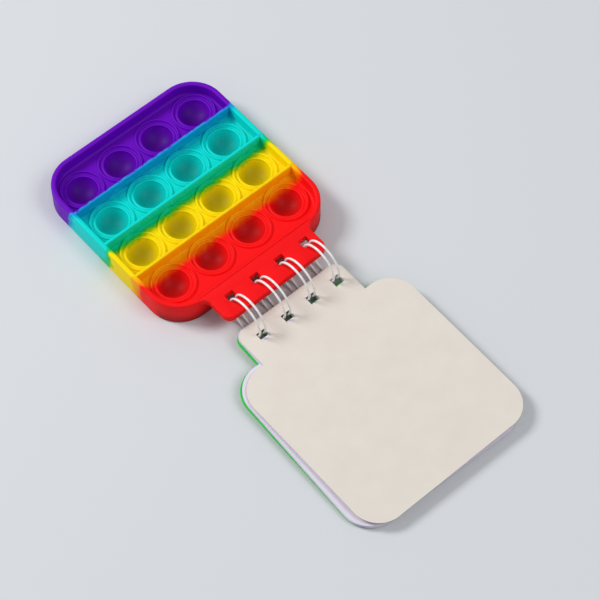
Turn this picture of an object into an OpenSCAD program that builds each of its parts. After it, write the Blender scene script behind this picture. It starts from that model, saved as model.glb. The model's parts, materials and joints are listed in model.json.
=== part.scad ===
// Push-bubble notebook, lying open.
// A soft moulded tray with sixteen push-through bubbles is the front cover.
// Four twin wire loops bind it to a pad of jar-shaped sheets and a thin
// plastic back cover. Millimetres throughout; the table is z = 0, +Y points
// from the pad to the bubble cover, +X runs along the row of punched holes.

/* [Bubble cover] */
// Width of the tray across the hole row
tray_w = 84; // [60:1:110]
// Length of the tray away from the binding
tray_l = 88; // [62:1:115]
// Height of the tray wall and its dividers
tray_h = 12; // [9:0.5:18]
// Outer corner radius of the tray
tray_corner_r = 15; // [8:0.5:22]
// Thickness of the tray's outer wall
wall_t = 2.2; // [1.2:0.1:4]
// Thickness of the dividers between rows
divider_t = 1.4; // [0.8:0.1:1.8]
// Thickness of the web that carries the bubbles
web_t = 1.2; // [0.8:0.1:2]

/* [Bubbles] */
// Spacing of the bubbles both ways
bubble_pitch = 19.5; // [14:0.25:24]
// Distance from the outer far wall to the farthest row's centres
far_row_inset = 13.5; // [10:0.5:18]
// Height of the bubbles' mouths above the table
mouth_z = 5.9; // [4:0.1:9]
// Outer radius of a bubble's lip
lip_r = 7.6; // [5:0.1:9]
// Thickness of a bubble's lip
lip_t = 1.1; // [0.6:0.1:1.6]
// Depth of a bubble below its mouth
dome_depth = 5.5; // [3:0.1:7]
// Wall thickness of a bubble
dome_t = 0.8; // [0.5:0.1:1.4]
// Gap between a bubble's lip and its seat
lip_gap = 0.22; // [0.1:0.02:0.5]
// Outer radius of the raised ring round a bubble
collar_r = 9.3; // [6:0.1:11]
// Width of the raised ring
collar_t = 0.9; // [0.5:0.1:1.6]
// Height of the raised ring above the bubbles' mouths
collar_rise = 1.2; // [0.6:0.1:2.5]

/* [Tab] */
// Width of the tab that carries the holes
tab_w = 51.8; // [46:0.5:70]
// Thickness of the tab
tab_t = 3; // [1.5:0.1:5]
// Distance from the hole row to the tab's free edge
tab_margin = 7.8; // [4:0.1:12]
// Distance from the hole row to the tray's near wall
tab_reach = 6; // [3.5:0.1:14]
// Radius of the tab's free corners
tab_corner_r = 3.5; // [1:0.5:6]
// Radius of the hollow corner where the tab meets the wall
tab_root_r = 3; // [1:0.5:5]

/* [Binding] */
// Spacing of the punched holes
hole_pitch = 12.7; // [8:0.1:14]
// Number of punched holes
hole_count = 4; // [2:1:5]
// Side of a square punched hole
hole_w = 4.2; // [3:0.1:6]
// Sideways offset of the hole row from the middle
hole_shift = 1.3; // [0:0.1:3]
// Mean radius of the wire loops
ring_r = 8.95; // [7:0.05:12]
// Thickness of the coated wire
wire_d = 0.95; // [0.7:0.05:1.4]
// Spacing of the two legs of one loop
leg_gap = 2.8; // [2:0.1:4]
// Height of the loops' underside above the table
ring_lift = 0.05; // [0:0.05:1]
// Where the wire's closed seam sits, in degrees below the tab
seam_angle = 15; // [12:1:40]

/* [Pad] */
// Width of the sheets' body
sheet_w = 82.6; // [58:0.5:108]
// Length of the sheets' body from the shoulders
sheet_l = 81.8; // [57:0.5:108]
// Radius of the sheets' corners
sheet_corner_r = 12; // [5:0.5:20]
// Width of the sheets' neck
neck_w = 52.8; // [46:0.5:56]
// Distance from the hole row to the neck's free edge
neck_margin = 7; // [4:0.1:9]
// Distance from the hole row to the shoulders
neck_reach = 10; // [7:0.1:16]
// Radius of the neck's free corners
neck_corner_r = 4; // [1:0.5:6]
// Thickness of one sheet
sheet_t = 0.09; // [0.06:0.01:0.2]
// Air between neighbouring sheets
sheet_air = 0.015; // [0:0.005:0.03]
// How far below the loops' axis the top sheet lies
pad_drop = 2.75; // [2:0.05:5]
// Clearance under the top sheet and over the back cover
turn_gap = 0.2; // [0.1:0.05:0.6]
// Lift of the top sheet's free end, in degrees
top_lift = 1.2; // [0:0.05:3]
// How far the sheets under the top one are turned out of line, in degrees
pad_skew = 1.8; // [0:0.1:2.5]
// How far the free edge of their necks falls short of the top sheet's
pad_trim = 0.9; // [0:0.1:2]

/* [Back cover] */
// Thickness of the back cover
back_t = 0.6; // [0.4:0.1:1.2]
// How far the back cover stands out past the sheets' sides
back_side = 0.8; // [0:0.1:1.2]
// How far the back cover is turned out of line, in degrees
back_skew = 1.2; // [0:0.1:2.5]
// How far the free edge of its neck falls short of the top sheet's
back_trim = 1.9; // [0:0.1:2.2]

/* [Hidden] */
$fn = 96;
round_fn = 48;

// Bubble grid
rows = 4;
columns = 4;

// Loops' axis is at y = 0 until the whole object is centred
ring_z = ring_r + wire_d / 2 + ring_lift;
wire_r = wire_d / 2;
tab_top = tray_h - ring_z;
tab_hole_inset = 1.4;
tab_hole_y = sqrt(ring_r * ring_r - tab_top * tab_top) + tab_hole_inset;
tab_edge_y = tab_hole_y - tab_margin;
tray_near_y = tab_hole_y + tab_reach;
tray_far_y = tray_near_y + tray_l;
tray_mid_y = (tray_near_y + tray_far_y) / 2;
far_row_y = tray_far_y - far_row_inset;
rim_round = 0.7;
foot_round = 0.9;

// Corners of the wire, a little fuller than the wire itself
wire_fn = 24;
seam_turn = 4;
corner_ease = 1.05;

// Bubble shape: a spherical cap of the lip's radius and the dome's depth
dome_mouth_r = lip_r - lip_t / 2 + dome_t / 2;
dome_r = (dome_mouth_r * dome_mouth_r + dome_depth * dome_depth) / (2 * dome_depth);
dome_centre = dome_r - dome_depth;
seat_r = lip_r + lip_gap;
collar_in = collar_r - collar_t;
web_top = web_t / 2;

// Leaves, counted down from the top sheet
lower_sheets = 16;
sheet_step = sheet_t + sheet_air;
top_hole_inset = 0.75;
pad_hole_inset = 0.2;
pad_top_drop = pad_drop + sheet_t + turn_gap;
back_drop = pad_top_drop + lower_sheets * sheet_step + turn_gap;
leaf_far = neck_reach + sheet_l;
back_bottom = back_drop + back_t;

// How far out the loops cross a leaf that lies this far below their axis
function crossing(drop) = sqrt(ring_r * ring_r - drop * drop);

// The back cover's far corner touches the table and sets the pad's slope
back_corner_y = crossing(back_drop) + pad_hole_inset
    + (leaf_far - sheet_corner_r) * cos(back_skew)
    + (sheet_w / 2 + back_side - sheet_corner_r - hole_shift) * sin(back_skew)
    + sheet_corner_r;
pad_slope = asin(ring_z / sqrt(pow(back_bottom, 2) + pow(back_corner_y, 2)))
    - atan2(back_bottom, back_corner_y);
top_slope = pad_slope - top_lift;

// The object is centred on its own footprint
pad_far_y = max(
    crossing(pad_top_drop) + pad_hole_inset
        + (leaf_far - sheet_corner_r) * cos(pad_skew)
        + (sheet_w / 2 - sheet_corner_r - hole_shift) * sin(pad_skew)
        + sheet_corner_r,
    crossing(pad_drop) + top_hole_inset + leaf_far);
centre_y = (tray_far_y - pad_far_y) / 2;

// ---- Shared shapes ----

// A rectangle with four round corners, centred
module round_rect(w, l, r) {
    square([w - 2 * r, l], center = true);
    square([w, l - 2 * r], center = true);
    for (x = [-1, 1], y = [-1, 1])
        translate([x * (w / 2 - r), y * (l / 2 - r)])
            circle(r);
}

// One punched hole row, as shapes to cut away
module hole_row() {
    for (i = [0 : hole_count - 1])
        translate([hole_shift + (i - (hole_count - 1) / 2) * hole_pitch, 0])
            square(hole_w, center = true);
}

// Brings shapes revolved about z onto the loops' axis, which runs along X
module about_ring_axis() {
    rotate([90, 0, 90])
        children();
}

// ---- Bubble cover ----

// Upright section of the tray wall, outer face at x = 0, going inwards
module wall_section() {
    translate([-wall_t, foot_round])
        square([wall_t, tray_h - foot_round - rim_round]);
    translate([-wall_t + foot_round, 0])
        square([wall_t - 2 * foot_round, foot_round]);
    translate([-wall_t + rim_round, tray_h - rim_round])
        square([wall_t - 2 * rim_round, rim_round]);
    for (x = [-foot_round, -wall_t + foot_round])
        translate([x, foot_round])
            circle(foot_round, $fn = round_fn);
    for (x = [-rim_round, -wall_t + rim_round])
        translate([x, tray_h - rim_round])
            circle(rim_round, $fn = round_fn);
}

// The wall all round: four straight runs and four turned corners
module tray_wall() {
    run_x = tray_w - 2 * tray_corner_r;
    run_y = tray_l - 2 * tray_corner_r;
    translate([0, tray_mid_y]) {
        for (side = [0, 180])
            rotate([0, 0, side]) {
                translate([tray_w / 2, run_y / 2, 0])
                    rotate([90, 0, 0])
                        linear_extrude(run_y)
                            wall_section();
                translate([-run_x / 2, tray_l / 2, 0])
                    rotate([90, 0, 90])
                        linear_extrude(run_x)
                            wall_section();
            }
        for (x = [0, 1], y = [0, 1])
            translate([(x - 0.5) * run_x, (y - 0.5) * run_y, 0])
                rotate([0, 0, x == 1 ? (y == 1 ? 0 : 270) : (y == 1 ? 90 : 180)])
                    rotate_extrude(angle = 90)
                        translate([tray_corner_r, 0])
                            wall_section();
    }
}

// Places its child at every bubble mouth
module at_mouths() {
    for (r = [1 : rows], c = [1 : columns])
        at_mouth(r, c)
            children();
}

module at_mouth(r, c) {
    translate([(c - (columns + 1) / 2) * bubble_pitch,
               far_row_y - (r - 1) * bubble_pitch, mouth_z])
        children();
}

// The flat web, opened for the collars
module web() {
    in = wall_t / 2;
    difference() {
        translate([0, tray_mid_y, mouth_z - web_t / 2])
            linear_extrude(web_t)
                round_rect(tray_w - 2 * in, tray_l - 2 * in, tray_corner_r - in);
        at_mouths()
            cylinder(r = collar_r - collar_t / 2, h = 2 * web_t, center = true);
    }
}

// Raised ring and hollow seat round one bubble
module collar() {
    bead = collar_t / 2;
    rotate_extrude() {
        translate([collar_in, -collar_rise + bead])
            square([collar_t, 2 * (collar_rise - bead)]);
        for (z = [-1, 1])
            translate([collar_in + bead, z * (collar_rise - bead)])
                circle(bead, $fn = round_fn);
        difference() {
            translate([seat_r - lip_gap, -web_top])
                square([collar_in + bead - seat_r + lip_gap, 2 * web_top]);
            circle(seat_r);
        }
    }
}

// The wall between two rows, with a round top
module divider(row) {
    len = tray_w - wall_t;
    r = divider_t / 2;
    translate([0, far_row_y - (row - 0.5) * bubble_pitch, 0]) {
        translate([-len / 2, -r, mouth_z])
            cube([len, divider_t, tray_h - r - mouth_z]);
        translate([-len / 2, 0, tray_h - r])
            rotate([0, 90, 0])
                cylinder(r = r, h = len, $fn = round_fn);
    }
}

// Flat tab with round free corners and hollow roots
module tab() {
    root = tray_near_y + wall_t / 2;
    translate([0, 0, tray_h - tab_t])
        linear_extrude(tab_t)
            difference() {
                union() {
                    translate([-tab_w / 2, tab_edge_y + tab_corner_r])
                        square([tab_w, root - tab_edge_y - tab_corner_r]);
                    translate([-tab_w / 2 + tab_corner_r, tab_edge_y])
                        square([tab_w - 2 * tab_corner_r, tab_corner_r]);
                    for (x = [-1, 1])
                        translate([x * (tab_w / 2 - tab_corner_r), tab_edge_y + tab_corner_r])
                            circle(tab_corner_r);
                    for (x = [-1, 1])
                        translate([x * tab_w / 2, tray_near_y - tab_root_r])
                            difference() {
                                translate([-tab_root_r, 0])
                                    square([2 * tab_root_r, root - tray_near_y + tab_root_r]);
                                translate([x * tab_root_r, 0])
                                    circle(tab_root_r);
                            }
                }
                translate([0, tab_hole_y])
                    hole_row();
            }
}

// ---- One bubble ----

// Hollow cap hanging from a round lip; its mouth is at z = 0
module bubble() {
    lip_mid = lip_r - lip_t / 2;
    rotate_extrude() {
        translate([lip_mid, 0])
            circle(lip_t / 2, $fn = round_fn);
        intersection() {
            translate([0, dome_centre])
                difference() {
                    circle(dome_r);
                    circle(dome_r - dome_t);
                }
            translate([0, -dome_depth - 1])
                square([lip_r, dome_depth + 1]);
        }
    }
}

module bubble_at(r, c) {
    translate([0, -centre_y, 0])
        at_mouth(r, c)
            bubble();
}

// ---- Twin-loop wire ----

// Moves to a point on a loop: y points outwards, z along the wire
module on_loop(angle) {
    rotate([angle, 0, 0])
        translate([0, ring_r, 0])
            children();
}

// A straight length of wire along x
module wire_bar(length) {
    rotate([0, 90, 0])
        cylinder(r = wire_r, h = length, $fn = wire_fn);
}

// A rounded corner of the wire
module wire_corner(x) {
    translate([x, 0, 0])
        sphere(wire_r * corner_ease, $fn = wire_fn);
}

// Both legs of every loop, the closed tips, and the bars between loops
module wire_loops() {
    tip_turn = 2 * asin((leg_gap / 2 + wire_r) / (2 * ring_r));
    sweep = 360 - tip_turn - seam_turn;
    half_gap = leg_gap / 2;
    for (i = [0 : hole_count - 1]) {
        x = hole_shift + (i - (hole_count - 1) / 2) * hole_pitch;
        for (side = [-1, 1])
            translate([x + side * half_gap, 0, 0])
                about_ring_axis()
                    rotate([0, 0, -seam_angle])
                        rotate_extrude(angle = sweep)
                            translate([ring_r, 0])
                                circle(wire_r, $fn = wire_fn);
        on_loop(sweep - seam_angle) {
            translate([x, 0, 0])
                rotate([90, 0, 0])
                    rotate_extrude(angle = 180)
                        translate([half_gap, 0])
                            circle(wire_r, $fn = wire_fn);
            wire_corner(x - half_gap);
            wire_corner(x + half_gap);
        }
        if (i > 0)
            on_loop(-seam_angle) {
                wire_corner(x - hole_pitch + half_gap);
                translate([x - hole_pitch + half_gap, 0, 0])
                    wire_bar(hole_pitch - leg_gap);
                wire_corner(x - half_gap);
            }
    }
}

// ---- Leaves of the pad ----

// Jar-shaped outline about the hole row, with its punched holes
module leaf_outline(side, trim) {
    w = sheet_w + 2 * side;
    neck = neck_w + 2 * side;
    top = neck_margin - trim;
    foot = neck_reach;
    difference() {
        union() {
            translate([0, -foot - sheet_l / 2])
                round_rect(w, sheet_l, sheet_corner_r);
            translate([-neck / 2, -foot - 1])
                square([neck, foot + 1 + top - neck_corner_r]);
            translate([-neck / 2 + neck_corner_r, top - neck_corner_r])
                square([neck - 2 * neck_corner_r, neck_corner_r]);
            for (x = [-1, 1])
                translate([x * (neck / 2 - neck_corner_r), top - neck_corner_r])
                    circle(neck_corner_r);
        }
        hole_row();
    }
}

// A leaf whose top face lies `drop` below the loops' axis
module leaf(drop, thick, inset, skew, slope, side = 0, trim = 0) {
    translate([0, -centre_y, ring_z])
        rotate([slope, 0, 0])
            translate([hole_shift, -crossing(drop) - inset, -drop - thick])
                rotate([0, 0, -skew])
                    translate([-hole_shift, 0, 0])
                        linear_extrude(thick)
                            leaf_outline(side, trim);
}

// The n-th sheet from the top; the lower ones are fanned slightly
module lower_sheet(n) {
    k = n - 2;
    fan = 0.06 * (k % 3) - 0.06;
    leaf(pad_top_drop + k * sheet_step, sheet_t, pad_hole_inset, pad_skew + fan, pad_slope,
         trim = pad_trim);
}

// ---- Nodes ----

module bubble_cover() {
    color([0.93, 0.13, 0.15])
        translate([0, -centre_y, 0]) {
            tray_wall();
            web();
            at_mouths()
                collar();
            for (row = [1 : rows - 1])
                divider(row);
            tab();
        }
}

module bubble_r1c1() { color([0.32, 0.05, 0.62]) bubble_at(1, 1); }
module bubble_r1c2() { color([0.32, 0.05, 0.62]) bubble_at(1, 2); }
module bubble_r1c3() { color([0.32, 0.05, 0.62]) bubble_at(1, 3); }
module bubble_r1c4() { color([0.32, 0.05, 0.62]) bubble_at(1, 4); }
module bubble_r2c1() { color([0.0, 0.75, 0.78]) bubble_at(2, 1); }
module bubble_r2c2() { color([0.0, 0.75, 0.78]) bubble_at(2, 2); }
module bubble_r2c3() { color([0.0, 0.75, 0.78]) bubble_at(2, 3); }
module bubble_r2c4() { color([0.0, 0.75, 0.78]) bubble_at(2, 4); }
module bubble_r3c1() { color([0.98, 0.86, 0.05]) bubble_at(3, 1); }
module bubble_r3c2() { color([0.98, 0.86, 0.05]) bubble_at(3, 2); }
module bubble_r3c3() { color([0.98, 0.86, 0.05]) bubble_at(3, 3); }
module bubble_r3c4() { color([0.98, 0.86, 0.05]) bubble_at(3, 4); }
module bubble_r4c1() { color([0.90, 0.06, 0.08]) bubble_at(4, 1); }
module bubble_r4c2() { color([0.90, 0.06, 0.08]) bubble_at(4, 2); }
module bubble_r4c3() { color([0.90, 0.06, 0.08]) bubble_at(4, 3); }
module bubble_r4c4() { color([0.90, 0.06, 0.08]) bubble_at(4, 4); }

module twin_loop_wire() {
    color([0.93, 0.93, 0.95])
        translate([0, -centre_y, ring_z])
            wire_loops();
}

module back_cover() {
    color([0.17, 0.83, 0.29])
        leaf(back_drop, back_t, pad_hole_inset, back_skew, pad_slope, back_side, back_trim);
}

module sheet_01() {
    color([0.89, 0.86, 0.81])
        leaf(pad_drop, sheet_t, top_hole_inset, 0, top_slope);
}

module sheet_02() { color([0.93, 0.92, 0.94]) lower_sheet(2); }
module sheet_03() { color([0.93, 0.92, 0.94]) lower_sheet(3); }
module sheet_04() { color([0.93, 0.92, 0.94]) lower_sheet(4); }
module sheet_05() { color([0.93, 0.92, 0.94]) lower_sheet(5); }
module sheet_06() { color([0.93, 0.92, 0.94]) lower_sheet(6); }
module sheet_07() { color([0.93, 0.92, 0.94]) lower_sheet(7); }
module sheet_08() { color([0.93, 0.92, 0.94]) lower_sheet(8); }
module sheet_09() { color([0.93, 0.92, 0.94]) lower_sheet(9); }
module sheet_10() { color([0.93, 0.92, 0.94]) lower_sheet(10); }
module sheet_11() { color([0.93, 0.92, 0.94]) lower_sheet(11); }
module sheet_12() { color([0.93, 0.92, 0.94]) lower_sheet(12); }
module sheet_13() { color([0.93, 0.92, 0.94]) lower_sheet(13); }
module sheet_14() { color([0.93, 0.92, 0.94]) lower_sheet(14); }
module sheet_15() { color([0.93, 0.92, 0.94]) lower_sheet(15); }
module sheet_16() { color([0.93, 0.92, 0.94]) lower_sheet(16); }
module sheet_17() { color([0.93, 0.92, 0.94]) lower_sheet(17); }

bubble_cover();
bubble_r1c1();
bubble_r1c2();
bubble_r1c3();
bubble_r1c4();
bubble_r2c1();
bubble_r2c2();
bubble_r2c3();
bubble_r2c4();
bubble_r3c1();
bubble_r3c2();
bubble_r3c3();
bubble_r3c4();
bubble_r4c1();
bubble_r4c2();
bubble_r4c3();
bubble_r4c4();
twin_loop_wire();
back_cover();
sheet_01();
sheet_02();
sheet_03();
sheet_04();
sheet_05();
sheet_06();
sheet_07();
sheet_08();
sheet_09();
sheet_10();
sheet_11();
sheet_12();
sheet_13();
sheet_14();
sheet_15();
sheet_16();
sheet_17();
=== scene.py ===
"""Push-bubble notebook lying open: visible pieces built round the CAD frame.

A soft moulded tray of sixteen push-through bubbles is the front cover. Four
twin wire loops bind it to a pad of jar-shaped sheets and a thin green cover.
Sizes are written in millimetres and turned to metres as each mesh is made.
"""

from __future__ import annotations

import json
import logging
import math
from dataclasses import dataclass, field
from enum import Enum
from typing import Any

import bmesh
import bpy
from mathutils import Matrix, Vector

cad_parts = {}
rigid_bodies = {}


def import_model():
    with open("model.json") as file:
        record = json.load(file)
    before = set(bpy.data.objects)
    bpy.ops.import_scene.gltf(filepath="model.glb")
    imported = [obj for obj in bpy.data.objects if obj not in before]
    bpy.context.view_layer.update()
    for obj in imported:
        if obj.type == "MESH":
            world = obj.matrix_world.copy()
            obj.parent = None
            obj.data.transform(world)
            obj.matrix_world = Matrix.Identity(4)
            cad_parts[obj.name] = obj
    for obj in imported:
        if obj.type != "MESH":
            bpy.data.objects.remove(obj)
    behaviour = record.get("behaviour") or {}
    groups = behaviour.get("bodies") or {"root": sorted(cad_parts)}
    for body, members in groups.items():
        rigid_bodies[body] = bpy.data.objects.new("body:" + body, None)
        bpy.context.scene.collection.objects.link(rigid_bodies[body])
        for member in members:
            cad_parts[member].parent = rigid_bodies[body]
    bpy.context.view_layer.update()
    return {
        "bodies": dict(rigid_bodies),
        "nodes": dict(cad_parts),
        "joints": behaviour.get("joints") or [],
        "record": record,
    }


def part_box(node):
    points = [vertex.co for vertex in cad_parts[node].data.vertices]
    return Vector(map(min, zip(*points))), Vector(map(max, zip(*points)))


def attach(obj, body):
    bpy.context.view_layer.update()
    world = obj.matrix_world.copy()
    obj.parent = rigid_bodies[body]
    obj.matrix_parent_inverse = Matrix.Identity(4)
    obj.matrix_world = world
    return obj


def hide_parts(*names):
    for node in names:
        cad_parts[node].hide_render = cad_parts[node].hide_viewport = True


LOG = logging.getLogger("bubble_notebook")
MM = 0.001

Point2 = tuple[float, float]
Point3 = tuple[float, float, float]


# ---------------------------------------------------------------- helpers


def linear(code: str) -> tuple[float, float, float, float]:
    """Turns an sRGB hex colour into linear RGBA.

    Args:
        code: six hex digits, such as "ff1e1e".

    Returns:
        Linear red, green, blue and an alpha of 1.
    """
    parts = [int(code[i : i + 2], 16) / 255 for i in (0, 2, 4)]
    lin = [c / 12.92 if c <= 0.04045 else ((c + 0.055) / 1.055) ** 2.4 for c in parts]
    return (lin[0], lin[1], lin[2], 1.0)


def add_node(
    tree: bpy.types.NodeTree,
    kind: str,
    settings: dict[str, Any] | None = None,
    inputs: dict[Any, Any] | None = None,
) -> bpy.types.Node:
    """Adds a node with its settings, its input values and its links.

    Args:
        tree: the node tree that gets the node.
        kind: Blender's class name of the node.
        settings: attribute values to set first.
        inputs: input name or number, to a value or to a socket to link from.

    Returns:
        The new node.
    """
    node = tree.nodes.new(kind)
    for key, value in (settings or {}).items():
        setattr(node, key, value)
    for key, value in (inputs or {}).items():
        if isinstance(value, bpy.types.NodeSocket):
            tree.links.new(value, node.inputs[key])
        else:
            node.inputs[key].default_value = value
    return node


def maths(tree: bpy.types.NodeTree, operation: str, *values: Any) -> Any:
    """Adds a math node.

    Args:
        tree: the node tree that gets the node.
        operation: Blender's name of the operation.
        values: its values, or the sockets they come from, in order.

    Returns:
        The node's output socket.
    """
    inputs = dict(enumerate(values))
    return add_node(
        tree, "ShaderNodeMath", {"operation": operation}, inputs
    ).outputs[0]


def fit(
    tree: bpy.types.NodeTree,
    value: Any,
    source: Point2,
    target: Point2 = (0.0, 1.0),
    smooth: bool = False,
) -> Any:
    """Maps a value from one range onto another, kept within it.

    Args:
        tree: the node tree that gets the node.
        value: the socket that the value comes from.
        source: lowest and highest value.
        target: what they become.
        smooth: whether the change eases in and out.

    Returns:
        The node's output socket.
    """
    settings = {"interpolation_type": "SMOOTHSTEP" if smooth else "LINEAR"}
    names = ("From Min", "From Max", "To Min", "To Max")
    inputs = {"Value": value, **dict(zip(names, (*source, *target)))}
    return add_node(tree, "ShaderNodeMapRange", settings, inputs).outputs[0]


def noise(
    tree: bpy.types.NodeTree, place: Any, spacing: float, detail: float, **more: float
) -> Any:
    """Adds soft noise.

    Args:
        tree: the node tree that gets the node.
        place: the socket that the place comes from.
        spacing: spacing of its spots, in millimetres.
        detail: how many finer layers it has.
        more: other inputs of the noise by name.

    Returns:
        The socket of its value.
    """
    inputs = {"Vector": place, "Scale": 1 / (spacing * MM), "Detail": detail, **more}
    return add_node(tree, "ShaderNodeTexNoise", {}, inputs).outputs["Fac"]


def blend(
    tree: bpy.types.NodeTree, share: Any, first: Any, second: Any, how: str = "MIX"
) -> Any:
    """Blends two colours.

    Args:
        tree: the node tree that gets the node.
        share: how much of the second colour there is.
        first: the first colour or its socket.
        second: the second colour or its socket.
        how: Blender's name of the kind of blend.

    Returns:
        The socket of the colour.
    """
    settings = {"data_type": "RGBA", "blend_type": how}
    inputs = {"Factor": share, 6: first, 7: second}
    return add_node(tree, "ShaderNodeMix", settings, inputs).outputs[2]


def bumps(tree: bpy.types.NodeTree, height: Any, strength: float, deep: float) -> Any:
    """Turns a height into a surface relief.

    Args:
        tree: the node tree that gets the node.
        height: the socket that the height comes from.
        strength: how strongly it shows.
        deep: its depth, in millimetres.

    Returns:
        The socket of the normal.
    """
    inputs = {"Height": height, "Strength": strength, "Distance": deep * MM}
    return add_node(tree, "ShaderNodeBump", {}, inputs).outputs[0]


def new_material(name: str) -> tuple[bpy.types.Material, bpy.types.NodeTree, Any]:
    """Starts a material.

    Args:
        name: the material's name.

    Returns:
        The material, its emptied tree and the socket of Object coordinates.
    """
    material = bpy.data.materials.new(name)
    material.use_nodes = True
    tree = material.node_tree
    tree.nodes.clear()
    return material, tree, add_node(tree, "ShaderNodeTexCoord").outputs["Object"]


def end_material(tree: bpy.types.NodeTree, inputs: dict[str, Any]) -> None:
    """Ends a material in one surface shader.

    Args:
        tree: the material's tree.
        inputs: the shader's inputs by name.
    """
    skin = add_node(tree, "ShaderNodeBsdfPrincipled", {}, inputs)
    add_node(tree, "ShaderNodeOutputMaterial", {}, {"Surface": skin.outputs[0]})


def mesh_piece(
    name: str,
    verts: list[Point3],
    faces: list[tuple[int, ...]],
    smooth: bool = True,
    edges: list[tuple[int, int]] | None = None,
) -> bpy.types.Object:
    """Makes an object from points in millimetres.

    Args:
        name: the piece's name.
        verts: points in millimetres.
        faces: corner numbers of each face.
        smooth: whether its faces are shaded smooth.
        edges: pairs of point numbers, for a path with no faces.

    Returns:
        The object, linked to the scene, at the origin.
    """
    mesh = bpy.data.meshes.new(name)
    mesh.from_pydata([Vector(v) * MM for v in verts], edges or [], faces)
    mesh.validate()
    mesh.shade_smooth() if smooth else mesh.shade_flat()
    return linked(name, mesh)


def linked(name: str, data: bpy.types.ID) -> bpy.types.Object:
    """Makes an object of a mesh, a lamp or a camera and links it to the scene.

    Args:
        name: the object's name.
        data: what it shows.

    Returns:
        The object, at the origin.
    """
    piece = bpy.data.objects.new(name, data)
    bpy.context.scene.collection.objects.link(piece)
    return piece


def filled_outline(
    outline: list[Point2], holes: list[list[Point2]], height: float
) -> bmesh.types.BMesh:
    """Fills an outline with holes by flat triangles.

    Args:
        outline: the outer edge, in millimetres.
        holes: the edges of the holes.
        height: the height that it lies at.

    Returns:
        The faces, as a mesh to edit; the caller frees it.
    """
    bm = bmesh.new()
    for loop in [outline, *holes]:
        ring = [bm.verts.new((x * MM, y * MM, height * MM)) for x, y in loop]
        for a, b in zip(ring, ring[1:] + ring[:1]):
            bm.edges.new((a, b))
    bmesh.ops.triangle_fill(bm, use_beauty=True, use_dissolve=False, edges=bm.edges)
    return bm


def look_up(bm: bmesh.types.BMesh) -> None:
    """Turns every face of a flat edited mesh upwards.

    Args:
        bm: the edited mesh.
    """
    for face in bm.faces:
        if face.normal.z < 0:
            face.normal_flip()


def mesh_of(bm: bmesh.types.BMesh, name: str) -> bpy.types.Object:
    """Turns an edited mesh into a linked object and frees it.

    Args:
        bm: the edited mesh.
        name: the object's name.

    Returns:
        The object, at the origin.
    """
    mesh = bpy.data.meshes.new(name)
    bm.to_mesh(mesh)
    bm.free()
    return linked(name, mesh)


def tidy_normals(piece: bpy.types.Object) -> None:
    """Merges doubled points and turns every face of a closed piece outwards.

    Args:
        piece: the mesh object.
    """
    bm = bmesh.new()
    bm.from_mesh(piece.data)
    bmesh.ops.remove_doubles(bm, verts=bm.verts, dist=1e-7)
    bmesh.ops.recalc_face_normals(bm, faces=bm.faces)
    bm.to_mesh(piece.data)
    bm.free()


def sharpen(piece: bpy.types.Object, degrees: float) -> None:
    """Marks edges that turn by more than an angle as sharp.

    Args:
        piece: the mesh object.
        degrees: the least turn of a sharp edge.
    """
    bm = bmesh.new()
    bm.from_mesh(piece.data)
    limit = math.radians(degrees)
    for edge in bm.edges:
        edge.smooth = len(edge.link_faces) == 2 and edge.calc_face_angle(0.0) < limit
    bm.to_mesh(piece.data)
    bm.free()


def arc(
    centre: Point2, radius: float, start: float, end: float, steps: int
) -> list[Point2]:
    """Gives points along an arc, both ends included.

    Args:
        centre: the arc's centre.
        radius: its radius.
        start: its first angle, in degrees.
        end: its last angle, in degrees.
        steps: how many straight pieces it has.

    Returns:
        The points.
    """
    turns = [math.radians(start + (end - start) * i / steps) for i in range(steps + 1)]
    return [
        (centre[0] + radius * math.cos(t), centre[1] + radius * math.sin(t))
        for t in turns
    ]


def lathe(
    profile: list[Point2], segments: int, closed: bool
) -> tuple[list[Point3], list[tuple[int, ...]]]:
    """Turns a profile about the Z axis.

    Args:
        profile: radius and height of each point, in millimetres.
        segments: how many flats make the round.
        closed: whether the last point joins the first.

    Returns:
        Points and faces, with a single point where the profile meets the axis.
    """
    verts: list[Point3] = []
    rings: list[list[int]] = []
    for radius, height in profile:
        if radius < 1e-6:
            verts.append((0.0, 0.0, height))
            rings.append([len(verts) - 1] * segments)
            continue
        first = len(verts)
        for k in range(segments):
            a = 2 * math.pi * k / segments
            verts.append((radius * math.cos(a), radius * math.sin(a), height))
        rings.append(list(range(first, first + segments)))
    pairs = list(zip(rings, rings[1:]))
    if closed:
        pairs.append((rings[-1], rings[0]))
    faces: list[tuple[int, ...]] = []
    for low, high in pairs:
        for k in range(segments):
            n = (k + 1) % segments
            corners = list(dict.fromkeys((low[k], low[n], high[n], high[k])))
            if len(corners) > 2:
                faces.append(tuple(corners))
    return verts, faces


def filled_plate(
    name: str, outline: list[Point2], holes: list[list[Point2]], low: float, high: float
) -> bpy.types.Object:
    """Makes a flat plate with holes between two heights.

    Args:
        name: the piece's name.
        outline: the outer edge, in millimetres.
        holes: the edges of the holes.
        low: height of its underside.
        high: height of its top.

    Returns:
        The plate.
    """
    bm = filled_outline(outline, holes, high)
    look_up(bm)
    made = bmesh.ops.extrude_face_region(bm, geom=list(bm.faces))
    moved = [g for g in made["geom"] if isinstance(g, bmesh.types.BMVert)]
    bmesh.ops.translate(bm, verts=moved, vec=(0, 0, (low - high) * MM))
    bmesh.ops.recalc_face_normals(bm, faces=bm.faces)
    return mesh_of(bm, name)


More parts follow.
